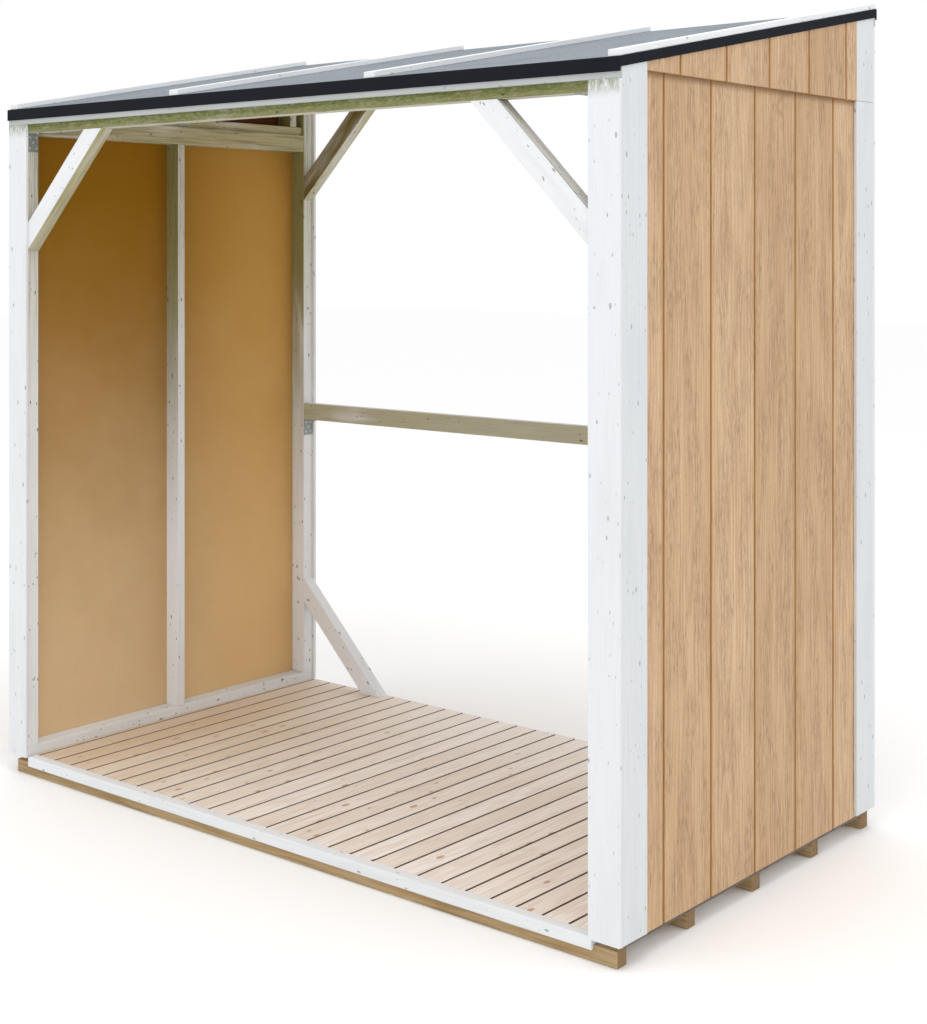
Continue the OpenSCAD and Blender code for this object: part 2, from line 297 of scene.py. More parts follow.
# %% Oak-pattern and fibreboard materials
def oak_sheet(name, first_groove, lip=None):
    """Oak-embossed sheet whose mock boards start at the y of first_groove, with a painted shadow under a lip
    and painted shade down each groove.
    """
    material, surface = new_material(name)

    def stretched(across, length, detail, distortion=0.0):
        """Noise drawn out up the sheet, from sizes across and along its grain."""
        spread = add(material, "Mapping", {"Vector": spot, "Scale": (1 / across, 1 / across, 1 / length)})
        return noise(material, spread.outputs[0], detail, distortion=distortion)

    place = add(material, "SeparateXYZ", {0: add(material, "TexCoord").outputs["Object"]})
    step = maths(material, "DIVIDE", maths(material, "SUBTRACT", place.outputs[1], first_groove),
                 GROOVE_PITCH)
    board = maths(material, "FLOOR", step)
    tone = add(material, "TexWhiteNoise", {"W": board}, noise_dimensions="1D").outputs["Value"]
    slide = add(material, "CombineXYZ", {2: maths(material, "MULTIPLY", tone, 7.0)})
    spot = add(material, "VectorMath", {0: add(material, "TexCoord").outputs["Object"],
               1: slide.outputs[0]}, operation="ADD").outputs[0]
    across = maths(material, "MULTIPLY", maths(material, "SUBTRACT", maths(material, "FRACT", step),
                   maths(material, "ADD", maths(material, "MULTIPLY", tone, 0.4), 0.3)), GROOVE_PITCH)
    height = maths(material, "SUBTRACT", maths(material, "PINGPONG",
                   maths(material, "ADD", place.outputs[2], maths(material, "MULTIPLY", tone, 3.0)), 0.8),
                   0.4)
    wobble = maths(material, "MULTIPLY", maths(material, "SUBTRACT", stretched(70 * MM, 260 * MM, 3.0),
                   0.5), 45 * MM)
    arch = add(material, "CombineXYZ", {0: maths(material, "ADD", across, wobble),
               1: maths(material, "MULTIPLY", height, 0.07)})
    rings = add(material, "TexWave", {"Vector": arch.outputs[0], "Scale": 24.0, "Distortion": 1.5,
                "Detail": 2.0}, wave_type="RINGS", rings_direction="SPHERICAL").outputs["Fac"]
    pore = maths(material, "MULTIPLY", ramp(material, stretched(2.2 * MM, 34 * MM, 2.0), 0.5, 0.64),
                 ramp(material, stretched(45 * MM, 260 * MM, 2.0), 0.38, 0.6))
    streak = stretched(6 * MM, 240 * MM, 3.0, 0.3)
    ribbon = stretched(7 * MM, 500 * MM, 2.0)
    patch = stretched(90 * MM, 320 * MM, 3.0, 0.5)
    colour = blend_colours(material, tone, paint("d3b18a"), paint("c8a37a"))
    colour = over(material, colour, ramp(material, patch, 0.42, 0.66), 0.4, "b58d69")
    colour = over(material, colour, ramp(material, rings, 0.35, 0.95), 0.28, "a07a56")
    colour = over(material, colour, ramp(material, ribbon, 0.52, 0.7), 0.5, "dfc3a0")
    colour = over(material, colour, ramp(material, streak, 0.5, 0.68), 0.32, "a0774f")
    colour = over(material, colour, ramp(material, stretched(4 * MM, 11 * MM, 3.0), 0.5, 0.7), 0.3, "a47e5a")
    colour = over(material, colour, pore, 0.5, "80593a")
    # Painted shade down each groove: a soft halo on its flanks and a dark line in its recess.
    from_line = maths(material, "ABSOLUTE", maths(material, "SUBTRACT",
                      maths(material, "FRACT", maths(material, "ADD", step, 0.5)), 0.5))
    groove_halo_shade = ramp(material, from_line, 1.6 * GROOVE_WIDTH / GROOVE_PITCH, 0.4 * GROOVE_WIDTH / GROOVE_PITCH)
    colour = over(material, colour, groove_halo_shade, 0.4, "c59c62")
    # Painted shadow on the wall sheet just under the gable sheet's lower edge.
    if lip:
        under = ramp(material, place.outputs[2], lip - LIP_SHADOW, lip - 2 * MM)
        colour = over(material, colour, under, 0.75, "7d5619")
    # The dark line is painted shade in the groove's recess.
    line = ramp(material, from_line, 0.6 * GROOVE_WIDTH / GROOVE_PITCH, 0.25 * GROOVE_WIDTH / GROOVE_PITCH)
    colour = over(material, colour, line, 0.85, "8f6327")
    relief = maths(material, "SUBTRACT", ribbon, maths(material, "ADD", pore, streak))
    return coat(material, surface, colour, relief, 0.7, 1.0 * MM, 0.55)


def fibreboard(name):
    """The brown back of a wall sheet: fine felted fibres and a faint cloudiness, with painted shade towards
    the roof and in the gable, and painted light towards the rear opening.
    """
    material, surface = new_material(name)
    place = add(material, "TexCoord").outputs["Object"]
    height = add(material, "SeparateXYZ", {0: place}).outputs[2]
    back = add(material, "SeparateXYZ", {0: place}).outputs[1]
    cloud = noise(material, place, 4.0, scale=5.0)
    fibre = noise(material, place, 2.0, scale=420.0)
    level = maths(material, "ADD", height, maths(material, "MULTIPLY", cloud, 0.4))
    # Painted shade: light tan at the bottom to dark ochre towards the roof, patchy with the cloud.
    colour = blend_colours(material, ramp(material, level, -0.1, 2.05), paint("e3c69e"), paint("96690d"))
    # Painted light: paler towards the rear opening.
    colour = over(material, colour, ramp(material, back, -0.15, 0.4), 0.4, "e4b567")
    # Painted shade in the gable, above the wall's top.
    colour = over(material, colour, ramp(material, height, *GABLE_SHADE_LEVELS), 1.0, "63381c")
    colour = over(material, colour, ramp(material, fibre, 0.5, 0.75), 0.15, "7a5520")
    return coat(material, surface, colour, fibre, 0.3, 0.3 * MM, 0.7, 0.12)


wall_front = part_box("right_siding")[0][1]
gable_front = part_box("right_gable_panel")[0][1]
wall_oak = oak_sheet("oak embossed wall sheet", wall_front + WALL_FIRST_GROOVE,
                     lip=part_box("right_gable_panel")[0][2])
gable_oak = oak_sheet("oak embossed gable sheet", gable_front + GABLE_FIRST_GROOVE)
shaded_sheet_back = fibreboard("brown fibreboard back with painted shade")

# %% [markdown]
# ## Deck pine, sawn runners, felt and zinc
#
# The deck boards are planed pine with only a clear stain: pinkish, with grain lines
# and honey knots, and each board has its own tone. Painted shade and a painted warm
# reflection darken the deck beside the left wall, painted light makes it paler towards
# the back, and painted shade darkens the boards' side faces in the gaps. The runners
# below are rough-sawn and impregnated, so they are browner and duller, and darkest on
# their end grain.
# The felt is bitumen sheet with slate granules: pale blue-grey where it lies flat
# under the sky, and nearly black on its smooth folded edges. The brackets are zinc
# plated steel, dull and slightly mottled.

# %% Deck pine
PAINTED_SHADE_LEFT = (-0.2, -1.05)
PAINTED_LIGHT_BACK = (0.0, 0.6)


def planed_deck(name, board_start, pitch):
    """Clear-stained pine boards along y, with a tone for each board, painted shade at the left and on the
    side faces, and painted light towards the back.
    """
    material, surface = new_material(name)
    place = add(material, "SeparateXYZ", {0: add(material, "TexCoord").outputs["Object"]})
    board = maths(material, "FLOOR", maths(material, "DIVIDE",
                  maths(material, "SUBTRACT", place.outputs[0], board_start), pitch))
    tone = add(material, "TexWhiteNoise", {"W": board}, noise_dimensions="1D").outputs["Value"]
    slide = add(material, "CombineXYZ", {1: maths(material, "MULTIPLY", tone, 9.0)})
    spot = add(material, "VectorMath", {0: add(material, "TexCoord").outputs["Object"],
               1: slide.outputs[0]}, operation="ADD").outputs[0]

    def drawn_out(across, along):
        """Coordinates with this many units per metre across and along a board."""
        return add(material, "Mapping", {"Vector": spot, "Scale": (across, along, across)}).outputs[0]

    grain = noise(material, drawn_out(90.0, 4.0), 3.0, distortion=0.3)
    figure = noise(material, drawn_out(22.0, 1.8), 2.0, distortion=0.5)
    rings = maths(material, "FRACT", maths(material, "MULTIPLY", figure, 7.0))
    cells = add(material, "TexVoronoi", {"Vector": drawn_out(26.0, 13.0), "Scale": 1.0})
    chance = add(material, "SeparateColor", {"Color": cells.outputs["Color"]}).outputs[0]
    radius = maths(material, "MULTIPLY", maths(material, "SUBTRACT", chance, 0.4), 0.42)
    knot = ramp(material, maths(material, "SUBTRACT", radius, cells.outputs["Distance"]), 0.0, 0.06)
    colour = blend_colours(material, tone, paint("f6ede6"), paint("e9dccf"))
    colour = over(material, colour, ramp(material, rings, 0.2, 1.0), 0.35, "d6c1ad")
    colour = over(material, colour, ramp(material, grain, 0.5, 0.72), 0.45, "cdb49d")
    colour = over(material, colour, knot, 0.75, "ae815c")
    # Painted shade and a painted warm reflection beside the left wall.
    colour = over(material, colour, ramp(material, place.outputs[0], *PAINTED_SHADE_LEFT), 0.6, "cdae84")
    # Painted light: paler towards the open back.
    colour = over(material, colour, ramp(material, place.outputs[1], *PAINTED_LIGHT_BACK), 0.4, "fbf5f1")
    # Painted shade on the boards' side faces, so that the gaps between them read dark.
    facing = axis_value(material, "NewGeometry", "Normal", 0)
    edge = ramp(material, maths(material, "ABSOLUTE", facing), 0.35, 0.8)
    colour = over(material, colour, edge, 0.9, "4b3c30")
    return coat(material, surface, colour, grain, 0.3, 0.5 * MM, 0.6)


# %% Sawn pine for the runners and the roof sheet
def sawn_pine(name):
    """Rough-sawn, impregnated timber along x, with darker end grain."""
    material, surface = new_material(name)
    coarse = noise(material, along_grain(material, "x", 7 * MM, 180 * MM), 4.0)
    cloud = noise(material, along_grain(material, "x", 40 * MM, 260 * MM), 2.0)
    saw = add(material, "TexWave", {"Vector": along_grain(material, "x", 1.0, 9 * MM), "Scale": 0.3,
              "Distortion": 2.0, "Detail": 2.0}, bands_direction="X").outputs["Fac"]
    facing = axis_value(material, "NewGeometry", "Normal", 0)
    end = ramp(material, maths(material, "ABSOLUTE", facing), 0.5, 0.9)
    marks = knots(material, "x", 38 * MM, 110 * MM, 0.35, 0.35)
    colour = over(material, paint("b39a72"), ramp(material, coarse, 0.4, 0.7), 1.0, "947a50")
    colour = over(material, colour, ramp(material, cloud, 0.5, 0.75), 0.6, "a07c4e")
    colour = over(material, colour, marks, 0.6, "7a5730")
    colour = over(material, colour, end, 0.75, "7d6243")
    relief = maths(material, "ADD", coarse, maths(material, "MULTIPLY", saw, 0.4))
    return coat(material, surface, colour, relief, 0.5, 1.0 * MM, 0.8)


# %% Granules and spangle
def speckled(name, base, fleck, cloudy, grit, rough, metallic=0.0, depth=0.5 * MM, gloss=0.5):
    """A surface of fine grit or spangle: granules on felt, or zinc crystals on steel."""
    material, surface = new_material(name)
    place = add(material, "TexCoord").outputs["Object"]
    grains = add(material, "TexVoronoi", {"Vector": place, "Scale": 1 / grit})
    shade = add(material, "SeparateColor", {"Color": grains.outputs["Color"]}).outputs[0]
    cloud = noise(material, place, 3.0, scale=6.0)
    colour = over(material, paint(base), ramp(material, shade, 0.35, 1.0), 1.0, fleck)
    colour = over(material, colour, ramp(material, cloud, 0.4, 0.75), 0.5, cloudy)
    surface.inputs["Metallic"].default_value = metallic
    return coat(material, surface, colour, shade, 0.5, depth, rough, gloss)


# %% The deck, runner, felt and steel materials
deck_low, deck_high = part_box("deck_boards")
DECK_COUNT = 29
DECK_BOARD = 71.5 * MM
deck_pitch = (deck_high[0] - deck_low[0] - DECK_BOARD) / (DECK_COUNT - 1)
deck_pine = planed_deck("clear stained deck pine", deck_low[0] - 0.5 * (deck_pitch - DECK_BOARD), deck_pitch)
runner_pine = sawn_pine("sawn impregnated pine")
felt_top = speckled("slate granule felt", "767d85", "8f979e", "6a727b", 3 * MM, 0.9)
felt_edge = speckled("smooth bitumen edge", "11141c", "161a23", "0e1119", 2 * MM, 0.75,
                      depth=0.15 * MM, gloss=0.15)
zinc = speckled("zinc plated steel", "8d9391", "a7adab", "767c79", 4 * MM, 0.45, metallic=0.85,
                depth=0.05 * MM)
bright_zinc = speckled("bright zinc screw head", "b9bdba", "cdd0cd", "a5a9a6", 2 * MM, 0.35,
                       metallic=0.8, depth=0.03 * MM)
nail_white = speckled("white coated nail head", "e2e4e5", "eceeef", "d6d8d9", 1 * MM, 0.45,
                      depth=0.03 * MM)

# %% [markdown]
# ## Timbers that the frame already has right
#
# A planed timber is never razor sharp: its arrises are eased by a pass of the plane.
# The frame's own timbers need only that, so each gets a weld, to join its triangles,
# and a small bevel on its sharp edges. The end joints then read as joints, because
# each piece has its own rounded edge.

# %% Ease the arrises and give each timber its wood
ARRIS = 1.6 * MM


def eased(node, material, width=ARRIS):
    """Rounds a frame node's edges with modifiers and gives it its material."""
    piece = nodes[node]
    weld = piece.modifiers.new("joined triangles", "WELD")
    weld.merge_threshold = 0.05 * MM
    soft = piece.modifiers.new("eased arris", "BEVEL")
    soft.width = width
    soft.segments = 2
    soft.limit_method = "ANGLE"
    soft.angle_limit = math.radians(25)
    piece.data.materials.clear()
    piece.data.materials.append(material)


SIDES = ("left", "right")
UPRIGHTS = ("front_post", "mid_stud", "rear_post", "gable_upright")
PLATES = ("bottom_plate", "top_plate", "gable_plate", "gable_rafter")
for side in SIDES:
    for part in UPRIGHTS:
        eased(f"{side}_{part}", inner_wash["z"])
    for part in PLATES:
        eased(f"{side}_{part}", plate_wash)
eased("front_header", header_wash)
eased("rear_header", inner_wash["x"])
eased("rafters", plate_wash)
eased("rear_mid_rail", rail_wash)
eased("front_sill", outer_wash["x"])
for node in ("front_eaves_board", "rear_eaves_board"):
    eased(node, eaves_wash)
for side in SIDES:
    for part in ("side_front_trim", "side_rear_trim"):
        eased(f"{side}_{part}", side_wash)
eased("front_trims", front_wash)
eased("rear_trims", outer_wash["z"])
for i in range(1, 5):
    eased(f"roof_batten_{i}", outer_wash["y"])
eased("runners", runner_pine, 2 * MM)
eased("roof_board", runner_pine, 0.5 * MM)
print("eased", sum(1 for piece in nodes.values() if "eased arris" in piece.modifiers), "timbers")

# %% [markdown]
# ## Working on one piece
#
# The pieces that follow are modelled in edit mode. An operator acts on everything that
# is selected, so one helper picks the piece alone, and another starts a piece from the
# frame's own shape: it copies the mesh, joins its triangles and clears the flat edges
# between them, so that the faces can be cut and moved like boards.


# %% Helpers for modelling
def pick(piece):
    """Selects only this piece and makes it the active one."""
    bpy.ops.object.select_all(action="DESELECT")
    bpy.context.view_layer.objects.active = piece
    piece.select_set(True)


def from_frame(node, name):
    """A new piece that starts as a merged copy of a frame node."""
    piece = bpy.data.objects.new(name, nodes[node].data.copy())
    bpy.context.collection.objects.link(piece)
    piece.data.materials.clear()
    pick(piece)
    if piece.data.has_custom_normals:
        bpy.ops.mesh.customdata_custom_splitnormals_clear()
    bpy.ops.object.mode_set(mode="EDIT")
    bpy.ops.mesh.select_all(action="SELECT")
    bpy.ops.mesh.remove_doubles(threshold=0.05 * MM)
    bpy.ops.mesh.dissolve_limited(angle_limit=math.radians(0.5))
    bpy.ops.object.mode_set(mode="OBJECT")
    return piece


def choose(piece, what, test):
    """Selects, in edit mode, only the vertices, edges or faces that pass the test."""
    bpy.ops.object.mode_set(mode="EDIT")
    bpy.ops.mesh.select_mode(type=what)
    bpy.ops.mesh.select_all(action="DESELECT")
    bpy.ops.object.mode_set(mode="OBJECT")
    mesh = piece.data
    parts = {"VERT": mesh.vertices, "EDGE": mesh.edges, "FACE": mesh.polygons}[what]
    chosen = 0
    for part in parts:
        part.select = bool(test(part))
        chosen += part.select
    bpy.ops.object.mode_set(mode="EDIT")
    return chosen


def finish_piece(piece, slot, *replaced):
    """Ends a piece: it rides on the store and stands for its frame nodes, which it hides. The slot argument
    is not used.
    """
    if bpy.context.mode != "OBJECT":
        bpy.ops.object.mode_set(mode="OBJECT")
    bpy.ops.object.select_all(action="DESELECT")
    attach(piece, "root")
    if replaced:
        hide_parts(*replaced)


# %% [markdown]
# ## Grooved wall and gable sheets
#
# The press leaves a shallow groove every 205 mm, so that a sheet reads as upright
# boards. A groove is cut by four bisecting planes, which leave a narrow strip on the
# outer face. The strip is pushed in, and the two strips beside it become the sloping
# flanks. The groove runs out at the sheet's ends, as the pressed one does.


# %% Cut the grooves
FLANK_CUTS = (-0.5, -0.2, 0.2, 0.5)


def grooved_sheet(node, name, first_groove, front_material):
    """A wall or gable sheet with its pressed grooves."""
    piece = from_frame(node, name)
    low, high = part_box(node)
    outward = 1 if low[0] > 0 else -1
    count = 0
    line = low[1] + first_groove
    while line < high[1] - GROOVE_WIDTH:
        bpy.ops.object.mode_set(mode="EDIT")
        for offset in FLANK_CUTS:
            bpy.ops.mesh.select_all(action="SELECT")
            bpy.ops.mesh.bisect(plane_co=(0, line + offset * GROOVE_WIDTH, 0), plane_no=(0, 1, 0))
        choose(piece, "FACE", lambda face: abs(face.center[1] - line) < 0.15 * GROOVE_WIDTH
               and face.normal[0] * outward > 0.9)
        bpy.ops.transform.translate(value=(-outward * GROOVE_DEPTH, 0, 0))
        count += 1
        line += GROOVE_PITCH
    bpy.ops.object.mode_set(mode="OBJECT")
    for material in (front_material, shaded_sheet_back):
        piece.data.materials.append(material)
    for face in piece.data.polygons:
        face.material_index = 1 if face.normal[0] * outward < -0.5 else 0
    finish_piece(piece, "siding_panel", node)
    print(name, "has", count, "grooves and", len(piece.data.polygons), "faces")


for side in SIDES:
    grooved_sheet(f"{side}_siding", f"{side}_grooved_wall", WALL_FIRST_GROOVE, wall_oak)
    grooved_sheet(f"{side}_gable_panel", f"{side}_grooved_gable", GABLE_FIRST_GROOVE, gable_oak)

# %% [markdown]
# ## Deck boards
#
# A deck board is a planed strip with rounded long edges, so that feet and logs don't
# splinter it. One board is shaped from a block, and its four long edges are bevelled
# round. The rest are copies, set at the same pitch and joined.

# %% Model one board and repeat it
DECK_ROUND = 2 * MM


def block(name, low, high):
    """A block from its lower to its upper corner, as the start of a piece."""
    bpy.ops.object.select_all(action="DESELECT")
    centre = [(a + b) / 2 for a, b in zip(low, high)]
    size = [b - a for a, b in zip(low, high)]
    bpy.ops.mesh.primitive_cube_add(size=1, location=centre, scale=size)
    piece = bpy.context.active_object
    piece.name = name
    bpy.ops.object.transform_apply(location=True, rotation=True, scale=True)
    return piece


def edge_runs(piece, axis):
    """A test for edges that run along an axis."""
    def test(edge):
        first, last = (piece.data.vertices[i].co for i in edge.vertices)
        step = last - first
        return abs(step[axis]) > 0.9 * step.length
    return test


board_end = (deck_low[0] + DECK_BOARD, deck_high[1], deck_high[2])
board = block("deck_board_lengths", deck_low, board_end)
choose(board, "EDGE", edge_runs(board, 1))
bpy.ops.mesh.bevel(offset=DECK_ROUND, segments=3)
bpy.ops.object.mode_set(mode="OBJECT")
board.data.materials.append(deck_pine)
copies = [board]
for i in range(1, DECK_COUNT):
    twin = board.copy()
    twin.data = board.data.copy()
    twin.data.transform(Matrix.Translation((i * deck_pitch, 0, 0)))
    bpy.context.collection.objects.link(twin)
    copies.append(twin)
pick(board)
for twin in copies:
    twin.select_set(True)
bpy.ops.object.join()
finish_piece(board, "deck_timber", "deck_boards")
print("the deck has", DECK_COUNT, "boards and", len(board.data.polygons), "faces")

# %% [markdown]
# ## Roofing felt
#
# The felt is laid over the roof sheet and dressed down over its four edges. It bends
# round an edge rather than breaking, so the outer top edges are given a small radius.
# The flat carries slate granules, and the folded-down strips show the smooth side.

# %% Dress the felt
FRONT_APRON = 33 * MM
FOLD_RADIUS = 2.5 * MM
NEAR = 0.5 * MM
felt = from_frame("roof_felt", "dressed_roof_felt")
felt_low, felt_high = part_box("roof_felt")
felt_slope = (felt_high[2] - felt_low[2] - FRONT_APRON) / (felt_high[1] - felt_low[1])


def on_fold(edge):
    """An edge of the felt's upper face that lies on its outline."""
    for index in edge.vertices:
        end = felt.data.vertices[index].co
        surface = felt_high[2] - felt_slope * (felt_high[1] - end[1])
        inside = min(end[0] - felt_low[0], felt_high[0] - end[0],
                     end[1] - felt_low[1], felt_high[1] - end[1])
        if abs(end[2] - surface) > NEAR or inside > NEAR:
            return False
    return True


folds = choose(felt, "EDGE", on_fold)
bpy.ops.mesh.bevel(offset=FOLD_RADIUS, segments=3)
bpy.ops.object.mode_set(mode="OBJECT")
for material in (felt_top, felt_edge):
    felt.data.materials.append(material)
for face in felt.data.polygons:
    face.material_index = 0 if face.normal[2] > 0.95 else 1
finish_piece(felt, "roof_felt", "roof_felt")
print("the felt has", folds, "rounded folds and", len(felt.data.polygons), "faces")

# %% [markdown]
# ## Braces
#
# The corner braces are short lengths of the same pine, cut at 45 degrees at both ends.
# Their grain follows the brace, so a left and a right brace need wood turned opposite
# ways. Each pair is copied from the frame, its edges are bevelled, and the faces of
# each brace are given the wood that runs its way.

# %% Give the braces their grain
BRACES = (("front_braces", "left", brace_wash),
          ("rear_upper_braces", "left", rear_brace_wash),
          ("rear_lower_braces", "right", rear_brace_wash))
for node, rising, wash in BRACES:
    piece = from_frame(node, node + "_cut")
    choose(piece, "EDGE", lambda edge: True)
    bpy.ops.mesh.bevel(offset=ARRIS, segments=2)
    bpy.ops.object.mode_set(mode="OBJECT")
    for grain in ("rise", "fall"):
        piece.data.materials.append(wash[grain])
    for face in piece.data.polygons:
        on_left = face.center[0] < 0
        face.material_index = 0 if on_left == (rising == "left") else 1
    finish_piece(piece, "white_timber", node)
print("the braces' grain follows each brace")

# %% [markdown]
# ## Steel angle brackets
#
# The bracket is a strip of zinc-plated steel, punched and then bent. The frame's shape
# gives the two legs, their long edges and the bend are eased, and the holes are cut
# with round cutters by a boolean. Five pan-head screws hold the leg on the post, in the
# pattern of the five on a die. The leg under the timber has only the outer three,
# because two more would foul the screws on the post.

# %% Bracket blanks and the places of their screws
SCREW_HOLE = 2.5 * MM
BRACKET_LEG, BRACKET_WIDTH, BRACKET_STEEL = 56 * MM, 40 * MM, 2 * MM
BRACKET_EDGE = 0.4 * MM
CLEAR_OF_BEND = 15 * MM
SCREW_PATTERN = ((-0.3, 0.2), (0.3, 0.2), (0, 0.5), (-0.3, 0.8), (0.3, 0.8))
brackets = from_frame("angle_brackets", "punched_angle_brackets")
choose(brackets, "EDGE", edge_runs(brackets, 1))
bpy.ops.mesh.bevel(offset=BRACKET_EDGE, segments=2)
bpy.ops.object.mode_set(mode="OBJECT")

post_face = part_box("right_front_post")[0][0]
front_y = sum(p[1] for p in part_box("right_front_post")) / 2
rear_y = sum(p[1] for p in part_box("right_rear_post")) / 2
corners = [(front_y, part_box("front_header")[0][2]), (rear_y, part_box("rear_mid_rail")[0][2])]
screws = []
for side in (-1, 1):
    for y, z in corners:
        for across, along in SCREW_PATTERN:
            spot_y, reach = y + across * BRACKET_WIDTH, along * BRACKET_LEG
            on_post = (side * (post_face - BRACKET_STEEL), spot_y, z - reach)
            screws.append((on_post, (-side, 0, 0)))
            if reach > CLEAR_OF_BEND:
                under = (side * (post_face - reach), spot_y, z - BRACKET_STEEL)
                screws.append((under, (0, 0, -1)))


# %% Rows of small parts
def row_of(name, template, spots, material, slot):
    """Copies a small part, made to stand up along +Z, to each spot and joins the copies."""
    copies = []
    for place, outward in spots:
        turn = Vector(outward).to_track_quat("Z", "Y").to_matrix().to_4x4()
        twin = bpy.data.objects.new(name, template.data.copy())
        twin.data.transform(Matrix.Translation(place) @ turn)
        bpy.context.collection.objects.link(twin)
        copies.append(twin)
    bpy.data.objects.remove(template)
    pick(copies[0])
    for twin in copies:
        twin.select_set(True)
    bpy.ops.object.join()
    joined = copies[0]
    joined.name = name
    joined.data.materials.clear()
    joined.data.materials.append(material)
    for face in joined.data.polygons:
        face.material_index = 0
    if slot:
        finish_piece(joined, slot)
    return joined


def round_bar(name, radius, low, high, sides=14):
    """A round bar along Z, from the height low to the height high."""
    bpy.ops.object.select_all(action="DESELECT")
    bpy.ops.mesh.primitive_cylinder_add(vertices=sides, radius=radius, depth=high - low,
                                        location=(0, 0, (low + high) / 2))
    bar = bpy.context.active_object
    bar.name = name
    bpy.ops.object.transform_apply(location=True, rotation=True, scale=True)
    return bar


# %% Punch the brackets
hole_bar = round_bar("hole_cutter", SCREW_HOLE, -BRACKET_STEEL - 1 * MM, 1 * MM)
cutter = row_of("hole_cutters", hole_bar, screws, zinc, None)
pick(brackets)
holes = brackets.modifiers.new("holes", "BOOLEAN")
holes.object = cutter
holes.operation = "DIFFERENCE"
holes.solver = "EXACT"
bpy.ops.object.modifier_apply(modifier="holes")
bpy.data.objects.remove(cutter)
brackets.data.materials.clear()
brackets.data.materials.append(zinc)
for face in brackets.data.polygons:
    face.material_index = 0
finish_piece(brackets, "galvanised_steel", "angle_brackets")
print("the brackets have", len(screws), "holes and", len(brackets.data.polygons), "faces")

# %% [markdown]
# ## Screws and nails
#
# A pan-head screw is a low dome with a recess for the driver. A nail head is a flat
# disc with a soft rim, set almost flush. Each is modelled once, standing up at the
# origin: a short round bar whose top rim is bevelled, and for the screw a top face
# that is inset and pushed down. Rows of copies then go where a joiner would drive
# them: two in each deck board at every runner, and pairs up the corner boards.


# %% Model a head and screw on the brackets
def fastener(name, radius, height, rim, recess=0.0):
    """A screw or nail head that stands on the XY plane."""
    head = round_bar(name, radius, -0.5 * height, height, 12)
    choose(head, "EDGE", lambda edge: all(head.data.vertices[i].co[2] > 0.9 * height
           for i in edge.vertices))
    bpy.ops.mesh.bevel(offset=rim, segments=2)
    if recess:
        choose(head, "FACE", lambda face: face.normal[2] > 0.99)
        bpy.ops.mesh.inset(thickness=0.25 * radius)
        bpy.ops.transform.translate(value=(0, 0, -recess))
    bpy.ops.object.mode_set(mode="OBJECT")
    return head


row_of("bracket_screws", fastener("screw_head", 4.2 * MM, 1.6 * MM, 0.9 * MM, 0.8 * MM), screws,
       bright_zinc, "galvanised_steel")

# %% Nail down the deck
RUNNER_PITCH, RUNNER_HALF = 302.5 * MM, 18 * MM
NAIL_SHARES = (0.22, 0.78)
runner_low, runner_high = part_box("runners")
runner_mid = (runner_low[1] + runner_high[1]) / 2
lines = [runner_low[1] + 2 * RUNNER_HALF + 8 * MM, runner_high[1] - RUNNER_HALF]
lines += [runner_mid + turn * RUNNER_PITCH for turn in (-1, 0, 1)]
deck_nails = []
chance = random.Random(7)
for i in range(DECK_COUNT):
    left = deck_low[0] + i * deck_pitch
    if left + DECK_BOARD / 2 < -post_face or left + DECK_BOARD / 2 > post_face:
        continue
    for y in lines:
        for share in NAIL_SHARES:
            spot = (left + share * DECK_BOARD + chance.uniform(-1.5, 1.5) * MM,
                    y + chance.uniform(-4, 4) * MM, deck_high[2])
            deck_nails.append((spot, (0, 0, 1)))
row_of("deck_nails", fastener("deck_nail", 2.6 * MM, 0.3 * MM, 0.2 * MM), deck_nails, nail_white,
       "galvanised_steel")

# %% Nail up the corner boards
NAIL_LEVELS = [0.2 + 0.42 * i for i in range(4)]
trim_low, trim_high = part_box("front_trims")
FRONT_TRIM = 87 * MM
trim_nails = []
for side in (-1, 1):
    low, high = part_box(f"{SIDES[side > 0]}_side_front_trim")
    for level in NAIL_LEVELS:
        for share in (0.2, 0.8):
            across = side * (trim_high[0] - share * FRONT_TRIM) + chance.uniform(-3, 3) * MM
            for turn in (-1, 1):
                trim_nails.append(((across, -turn * trim_low[1], level), (0, turn, 0)))
            back = low[1] + share * (high[1] - low[1]) + chance.uniform(-3, 3) * MM
            for turn in (-1, 1):
                trim_nails.append(((side * trim_high[0], -turn * back, level), (side, 0, 0)))
row_of("trim_nails", fastener("trim_nail", 2.2 * MM, 0.3 * MM, 0.2 * MM), trim_nails, nail_white,
       "galvanised_steel")
print("the deck has", len(deck_nails), "nails and the corner boards have", len(trim_nails))

# %% [markdown]
# ## Tie plates
#
# A small zinc plate ties each gable plate to the middle stud's line. It is a sheet
# metal blank with rounded corners, held by two screws: a thin block whose upright
# edges are bevelled round.

# %% Fix the tie plates
TIE_LENGTH, TIE_HEIGHT, TIE_STEEL = 39 * MM, 23 * MM, 1.5 * MM
TIE_CORNER, TIE_MIDDLE = 3 * MM, 13.5 * MM
tie_screws = []
for side, name in ((-1, "left"), (1, "right")):
    low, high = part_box(f"{name}_gable_plate")
    face = low[0] if side > 0 else high[0]
    mid_z = (low[2] + high[2]) / 2
    xs = sorted((face, face - side * TIE_STEEL))
    tie = block(f"{name}_tie_plate", (xs[0], TIE_MIDDLE - TIE_LENGTH / 2, mid_z - TIE_HEIGHT / 2),
                (xs[1], TIE_MIDDLE + TIE_LENGTH / 2, mid_z + TIE_HEIGHT / 2))
    choose(tie, "EDGE", edge_runs(tie, 0))
    bpy.ops.mesh.bevel(offset=TIE_CORNER, segments=4)
    bpy.ops.object.mode_set(mode="OBJECT")
    tie.data.materials.append(zinc)
    finish_piece(tie, "galvanised_steel")
    for share in (-0.3, 0.3):
        spot = (face - side * TIE_STEEL, TIE_MIDDLE + share * TIE_LENGTH, mid_z)
        tie_screws.append((spot, (-side, 0, 0)))
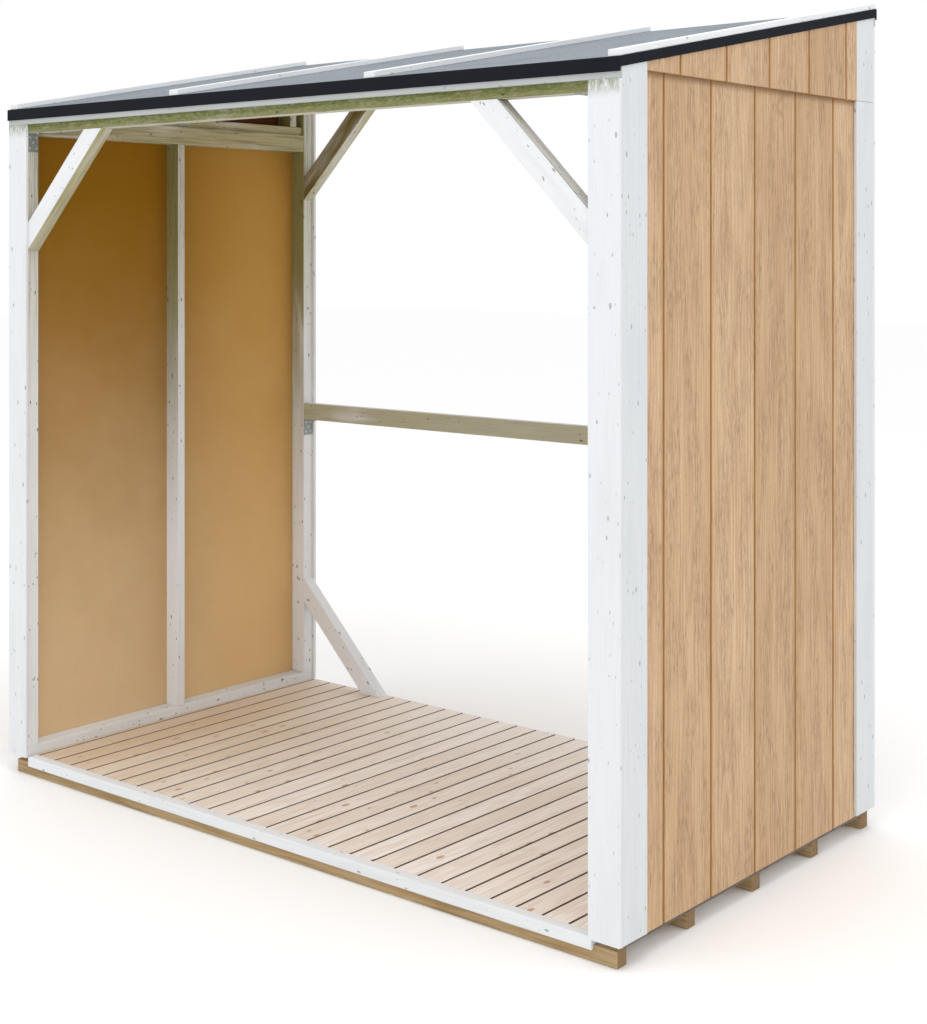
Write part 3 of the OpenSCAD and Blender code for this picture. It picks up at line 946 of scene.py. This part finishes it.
row_of("tie_plate_screws", fastener("tie_screw", 3.5 * MM, 1.4 * MM, 0.8 * MM, 0.7 * MM), tie_screws,
       bright_zinc, "galvanised_steel")
print("two tie plates with", len(tie_screws), "screws")

# %% [markdown]
# ## Camera, floor and light
#
# The store stands on a pale studio floor under even, soft light, with the front a
# little brighter than the side. The camera is level and set low enough to look up
# into the roof. Its lens is shifted down, as on a view camera, so that the uprights
# stay upright.

# %% Floor, camera and lights
FLOOR_SIZE = 60
EYE, TURN = (3.237, -3.680, 1.595), math.radians(39.86)
LENS, SENSOR, LENS_DROP = 59.2, 36, -0.2567
bpy.ops.object.select_all(action="DESELECT")
bpy.ops.mesh.primitive_plane_add(size=FLOOR_SIZE, location=(0, 0, -0.5 * MM))
floor = bpy.context.active_object
floor.name = "studio_floor"
floor_material, floor_surface = new_material("pale studio floor")
floor_surface.inputs["Base Color"].default_value = paint("fdfdfd")
floor_surface.inputs["Roughness"].default_value = 0.9
floor.data.materials.append(floor_material)

camera = bpy.data.objects.new("view", bpy.data.cameras.new("view"))
bpy.context.collection.objects.link(camera)
camera.location = EYE
camera.rotation_euler = (math.radians(90), 0, TURN)
camera.data.lens = LENS
camera.data.sensor_width = SENSOR
camera.data.shift_y = LENS_DROP
bpy.context.scene.camera = camera


def soft_light(name, place, aim, size, power):
    """A large square lamp that faces the point it is aimed at."""
    lamp = bpy.data.objects.new(name, bpy.data.lights.new(name, "AREA"))
    bpy.context.collection.objects.link(lamp)
    lamp.data.size = size
    lamp.data.energy = power
    lamp.location = place
    lamp.rotation_euler = (Vector(aim) - Vector(place)).to_track_quat("-Z", "Y").to_euler()


soft_light("front_light", (-1.0, -6.0, 4.0), (0, 0, 1.0), 3.5, 12)
soft_light("top_light", (1.5, -1.5, 6.0), (0.5, 0, 1.0), 3.0, 90)
world = bpy.data.worlds.new("studio")
bpy.context.scene.world = world
world.use_nodes = True
world.node_tree.nodes["Background"].inputs["Color"].default_value = (1.0, 1.0, 1.0, 1.0)
world.node_tree.nodes["Background"].inputs["Strength"].default_value = 1.0
bpy.context.scene.view_settings.view_transform = "Standard"
